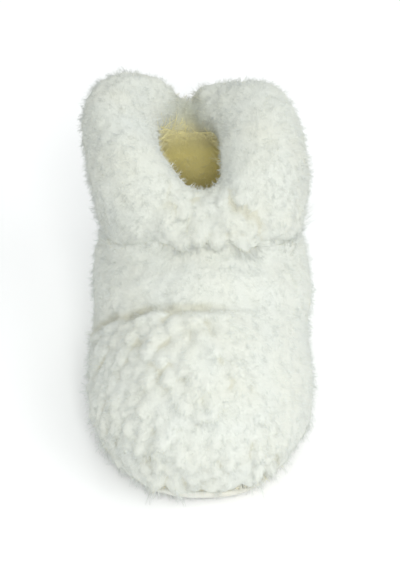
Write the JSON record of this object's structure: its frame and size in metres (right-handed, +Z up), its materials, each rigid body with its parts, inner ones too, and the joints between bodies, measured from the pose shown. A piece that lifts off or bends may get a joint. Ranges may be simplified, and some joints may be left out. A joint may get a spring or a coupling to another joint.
{
  "type": "baby slipper",
  "caption": "Ankle-high baby slipper of deep white wool pile: hollow fleece-lined upper with a turned-down cuff on a thin soft sole.",
  "frame": {"origin": "on the floor under the middle of the slipper's box", "axes": "+Z up, -Y towards the toe, +Y towards the heel, +X to the right of someone facing the toe"},
  "size_m": [0.0834, 0.1344, 0.105],
  "materials": {
    "sole": "soft matt suede",
    "footbed": "short cream fleece",
    "pile": "deep white wool pile in locks",
    "cuff_pile": "deep white wool pile, finer nap"
  },
  "bodies": {
    "root": {"outsole": "sole", "insole": "footbed", "upper": "pile", "cuff": "cuff_pile"}
  },
  "joints": []
}
